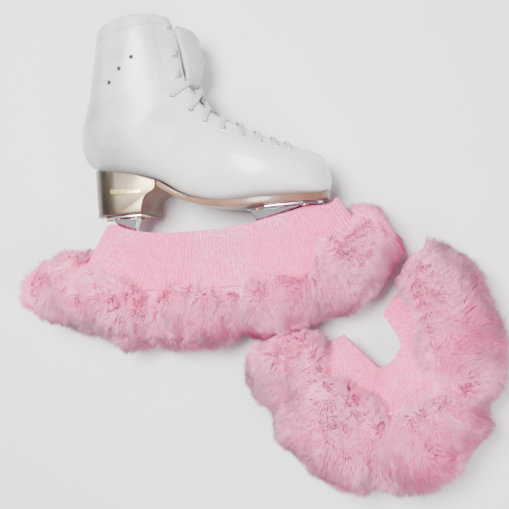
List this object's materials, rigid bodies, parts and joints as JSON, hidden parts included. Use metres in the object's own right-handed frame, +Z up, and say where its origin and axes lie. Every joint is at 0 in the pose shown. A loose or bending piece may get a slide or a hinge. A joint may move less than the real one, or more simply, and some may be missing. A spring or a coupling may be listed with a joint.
{
  "type": "ice skate",
  "caption": "White lace-up figure skate lying on its side, its chromed blade in a pink furry cover with a knitted cuff, and the matching cover curled beside it.",
  "frame": {"origin": "on the surface that the set lies on, in the middle of the flat underside of the fitted cover's fur, below the middle of the blade", "axes": "+X along the blade towards the toe, +Y from the blade's edge towards the boot's collar, +Z up from the surface, through the boot from its inner to its outer side"},
  "size_m": [0.5028, 0.5048, 0.092],
  "materials": {
    "white_leather": "smooth semi-gloss white leather",
    "stiffener": "pressed fibre board",
    "foam": "open-cell foam",
    "lining": "brushed microfibre",
    "board": "lasting board",
    "footbed": "felted footbed",
    "tongue_leather": "soft padded white leather",
    "eyelet_metal": "white enamelled brass",
    "vent_metal": "dark enamelled",
    "hook_metal": "white enamelled steel",
    "lace_cotton": "woven flat cotton",
    "lace_tip": "clear sleeve",
    "sole_leather": "waxed brown sole leather",
    "heel_leather": "stacked waxed leather",
    "heel_finish": "bronze lacquer",
    "gold_trim": "polished gilt",
    "blade_chrome": "polished chrome plate",
    "screw_brass": "polished",
    "rib_knit": "pink rib knit with silver thread",
    "towelling": "looped cotton towelling",
    "pink_fur": "long soft pile"
  },
  "bodies": {
    "skate": {"vamp": "white_leather", "lateral_quarter": "white_leather", "medial_quarter": "white_leather", "toe_puff": "stiffener", "heel_counter": "stiffener", "collar_foam": "foam", "upper_lining": "lining", "lasting_board": "board", "footbed": "footbed", "tongue_lower": "tongue_leather", "lace_eyelets": "eyelet_metal", "vent_eyelets": "vent_metal", "lateral_hooks": "hook_metal", "medial_hooks": "hook_metal", "lace": "lace_cotton", "lace_tips": "lace_tip", "outsole": "sole_leather", "heel_block": "heel_leather", "heel_cover": "heel_finish", "heel_badge": "gold_trim", "heel_plate": "blade_chrome", "sole_plate": "blade_chrome", "heel_stanchion": "blade_chrome", "sole_stanchion": "blade_chrome", "runner": "blade_chrome", "heel_screws": "screw_brass", "sole_screws": "screw_brass"},
    "tongue": {"tongue_upper": "tongue_leather"},
    "fitted_cover": {"fitted_cuff": "rib_knit", "fitted_lining": "towelling", "fitted_fur": "pink_fur"},
    "spare_cover": {"spare_cuff": "rib_knit", "spare_lining": "towelling", "spare_fur": "pink_fur"}
  },
  "joints": [
    {"name": "tongue_flex", "type": "hinge", "parent": "skate", "child": "tongue", "pos_m": [-0.004, 0.2425, 0.046], "axis": [0, 0, -1], "range_deg": [-5, 30]},
    {"name": "fitted_cover_slide", "type": "slide", "parent": "skate", "child": "fitted_cover", "axis": [0, -1, 0], "range_m": [0, 0.065]},
    {"name": "spare_cover_lift", "type": "slide", "parent": "fitted_cover", "child": "spare_cover", "axis": [0, 0, 1], "range_m": [0, 0.1]}
  ]
}
